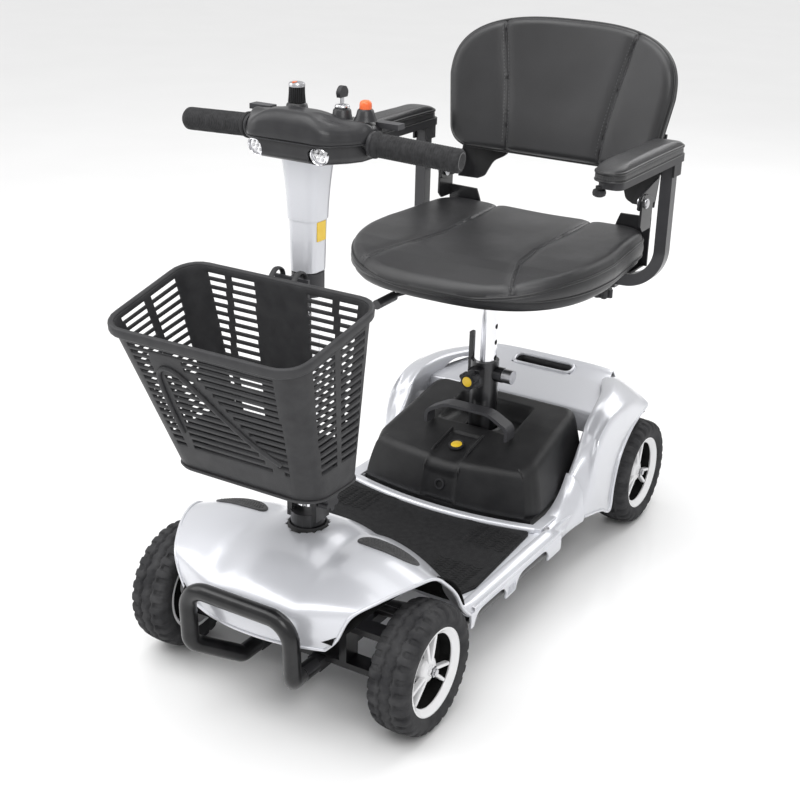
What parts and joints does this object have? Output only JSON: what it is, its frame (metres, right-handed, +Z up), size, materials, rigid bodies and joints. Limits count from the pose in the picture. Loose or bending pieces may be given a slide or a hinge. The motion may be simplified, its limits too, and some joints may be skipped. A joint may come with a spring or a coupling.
{
  "type": "mobility scooter",
  "caption": "Small electric mobility scooter with a tiller, front basket, flat deck, lift-out battery pack and a padded swivel seat with folding backrest and flip-up armrests.",
  "frame": {"origin": "on the ground under the middle of the scooter", "axes": "+Z up; the front of the scooter faces -Y; +X is the rider's left"},
  "size_m": [0.5078, 1.0746, 0.8692],
  "materials": {
    "silver_plastic": "gloss",
    "black_steel": "satin",
    "black_plastic": "satin",
    "tyre_grey": "matte",
    "white_rim": "gloss",
    "chrome": "polished",
    "steel": "satin",
    "vinyl": "satin",
    "grip_rubber": "matte",
    "mat_rubber": "matte",
    "lamp": "polished",
    "orange_plastic": "gloss",
    "cast": "satin"
  },
  "bodies": {
    "chassis": {"front_frame": "black_steel", "rear_frame": "black_steel", "front_shroud": "silver_plastic", "rear_shroud": "silver_plastic", "floor_mat": "mat_rubber", "toe_pads": "mat_rubber", "front_bumper": "black_steel", "transaxle_housing": "cast", "drive_motor": "cast", "controller_box": "black_plastic"},
    "battery_pack": {"battery_cover": "black_plastic", "battery_base": "black_plastic", "battery_cells": "black_plastic", "battery_handle": "black_plastic"},
    "steering": {"steering_column": "black_steel"},
    "tie_rod": {"tie_rod": "steel"},
    "tilt_knob": {"tilt_knob": "black_plastic"},
    "tiller": {"tiller_post": "chrome", "tiller_cover": "silver_plastic", "head_lower": "black_plastic", "head_upper": "black_plastic", "handlebar": "black_steel", "headlights": "lamp", "grip_left": "grip_rubber", "grip_right": "grip_rubber", "basket_bracket": "black_plastic"},
    "throttle": {"throttle_lever": "black_plastic"},
    "speed_dial": {"speed_dial": "black_plastic"},
    "key": {"ignition_key": "steel"},
    "horn": {"horn_button": "orange_plastic"},
    "basket": {"basket": "black_plastic"},
    "seat_post": {"seat_post": "chrome"},
    "post_knob": {"post_clamp_knob": "black_plastic"},
    "lock_pin": {"post_lock_pin": "steel"},
    "seat": {"seat_bracket": "black_steel", "seat_pan": "black_plastic", "seat_cushion": "vinyl", "seat_hinge_brackets": "black_steel"},
    "seat_lever": {"swivel_lever": "black_plastic"},
    "backrest": {"backrest_shell": "black_plastic", "backrest_cushion": "vinyl", "backrest_brackets": "black_steel"},
    "knuckle_left": {"knuckle_left": "steel"},
    "front_wheel_left": {"front_tyre_left": "tyre_grey", "front_rim_left": "white_rim"},
    "rear_wheel_left": {"rear_tyre_left": "tyre_grey", "rear_rim_left": "white_rim"},
    "arm_left": {"arm_tube_left": "black_steel"},
    "armrest_left": {"armrest_pan_left": "black_plastic", "armrest_pad_left": "vinyl"},
    "arm_knob_left": {"arm_knob_left": "black_plastic"},
    "knuckle_right": {"knuckle_right": "steel"},
    "front_wheel_right": {"front_tyre_right": "tyre_grey", "front_rim_right": "white_rim"},
    "rear_wheel_right": {"rear_tyre_right": "tyre_grey", "rear_rim_right": "white_rim"},
    "arm_right": {"arm_tube_right": "black_steel"},
    "armrest_right": {"armrest_pan_right": "black_plastic", "armrest_pad_right": "vinyl"},
    "arm_knob_right": {"arm_knob_right": "black_plastic"}
  },
  "joints": [
    {"name": "battery_lift", "type": "slide", "parent": "chassis", "child": "battery_pack", "axis": [0, 0, 1], "range_m": [0, 0.025]},
    {"name": "steer", "type": "hinge", "parent": "chassis", "child": "steering", "pos_m": [0, -0.295, 0.2], "axis": [0, 0, 1], "range_deg": [-35, 35]},
    {"name": "tie_rod_pivot", "type": "hinge", "parent": "steering", "child": "tie_rod", "pos_m": [0, -0.233, 0.139], "axis": [0, 0, 1], "range_deg": [-35, 35]},
    {"name": "kingpin_left", "type": "hinge", "parent": "chassis", "child": "knuckle_left", "pos_m": [0.16, -0.323, 0.095], "axis": [0, 0, 1], "range_deg": [-35, 35]},
    {"name": "front_wheel_left_spin", "type": "hinge", "parent": "knuckle_left", "child": "front_wheel_left", "pos_m": [0.207, -0.323, 0.095], "axis": [1, 0, 0], "continuous": true},
    {"name": "rear_wheel_left_spin", "type": "hinge", "parent": "chassis", "child": "rear_wheel_left", "pos_m": [0.189, 0.442, 0.095], "axis": [1, 0, 0], "continuous": true},
    {"name": "kingpin_right", "type": "hinge", "parent": "chassis", "child": "knuckle_right", "pos_m": [-0.16, -0.323, 0.095], "axis": [0, 0, 1], "range_deg": [-35, 35]},
    {"name": "front_wheel_right_spin", "type": "hinge", "parent": "knuckle_right", "child": "front_wheel_right", "pos_m": [-0.207, -0.323, 0.095], "axis": [1, 0, 0], "continuous": true},
    {"name": "rear_wheel_right_spin", "type": "hinge", "parent": "chassis", "child": "rear_wheel_right", "pos_m": [-0.189, 0.442, 0.095], "axis": [1, 0, 0], "continuous": true},
    {"name": "tiller_tilt", "type": "hinge", "parent": "steering", "child": "tiller", "pos_m": [0, -0.295, 0.292], "axis": [-1, 0, 0], "range_deg": [0, 20]},
    {"name": "tilt_knob_turn", "type": "hinge", "parent": "steering", "child": "tilt_knob", "pos_m": [0, -0.295, 0.292], "axis": [1, 0, 0], "range_deg": [0, 360]},
    {"name": "throttle", "type": "hinge", "parent": "tiller", "child": "throttle", "pos_m": [0, -0.257, 0.812], "axis": [0, 0, 1], "range_deg": [-7, 7], "stiffness_Nm_per_rad": 0.8},
    {"name": "speed_dial_turn", "type": "hinge", "parent": "tiller", "child": "speed_dial", "pos_m": [-0.03, -0.277, 0.84], "axis": [0, 0, 1], "range_deg": [-135, 135]},
    {"name": "key_turn", "type": "hinge", "parent": "tiller", "child": "key", "pos_m": [0.04, -0.277, 0.84], "axis": [0, 0, 1], "range_deg": [0, 90]},
    {"name": "horn_press", "type": "slide", "parent": "tiller", "child": "horn", "axis": [0, 0, -1], "range_m": [0, 0.003], "stiffness_N_per_m": 400},
    {"name": "basket_lift", "type": "slide", "parent": "tiller", "child": "basket", "axis": [0, 0, 1], "range_m": [0, 0.06]},
    {"name": "seat_height", "type": "slide", "parent": "chassis", "child": "seat_post", "axis": [0, 0, -1], "range_m": [-0.028, 0.056]},
    {"name": "post_knob_turn", "type": "hinge", "parent": "chassis", "child": "post_knob", "pos_m": [0, 0.187, 0.312], "axis": [0, 1, 0], "range_deg": [0, 360]},
    {"name": "lock_pin_pull", "type": "slide", "parent": "chassis", "child": "lock_pin", "axis": [1, 0, 0], "range_m": [0, 0.01], "stiffness_N_per_m": 300},
    {"name": "seat_swivel", "type": "hinge", "parent": "seat_post", "child": "seat", "pos_m": [0, 0.223, 0.47], "axis": [0, 0, 1], "range_deg": [-90, 90]},
    {"name": "seat_lever_pull", "type": "hinge", "parent": "seat", "child": "seat_lever", "pos_m": [-0.05, 0.189, 0.462], "axis": [0, 0, 1], "range_deg": [0, 12], "stiffness_Nm_per_rad": 0.6},
    {"name": "backrest_fold", "type": "hinge", "parent": "seat", "child": "backrest", "pos_m": [0, 0.393, 0.598], "axis": [1, 0, 0], "range_deg": [0, 95]},
    {"name": "arm_left_slide", "type": "slide", "parent": "seat", "child": "arm_left", "axis": [-1, 0, 0], "range_m": [-0.04, 0]},
    {"name": "armrest_left_flip", "type": "hinge", "parent": "arm_left", "child": "armrest_left", "pos_m": [0.231, 0.389, 0.664], "axis": [1, 0, 0], "range_deg": [-90, 0]},
    {"name": "arm_knob_left_turn", "type": "hinge", "parent": "seat", "child": "arm_knob_left", "pos_m": [0.134, 0.389, 0.44], "axis": [0, 0, 1], "range_deg": [0, 360]},
    {"name": "arm_right_slide", "type": "slide", "parent": "seat", "child": "arm_right", "axis": [1, 0, 0], "range_m": [-0.04, 0]},
    {"name": "armrest_right_flip", "type": "hinge", "parent": "arm_right", "child": "armrest_right", "pos_m": [-0.231, 0.389, 0.664], "axis": [1, 0, 0], "range_deg": [-90, 0]},
    {"name": "arm_knob_right_turn", "type": "hinge", "parent": "seat", "child": "arm_knob_right", "pos_m": [-0.134, 0.389, 0.44], "axis": [0, 0, 1], "range_deg": [0, 360]}
  ],
  "couplings": [
    {"joint": "kingpin_left", "follows": "steer", "ratio": 1},
    {"joint": "kingpin_right", "follows": "steer", "ratio": 1},
    {"joint": "tie_rod_pivot", "follows": "steer", "ratio": -1}
  ]
}
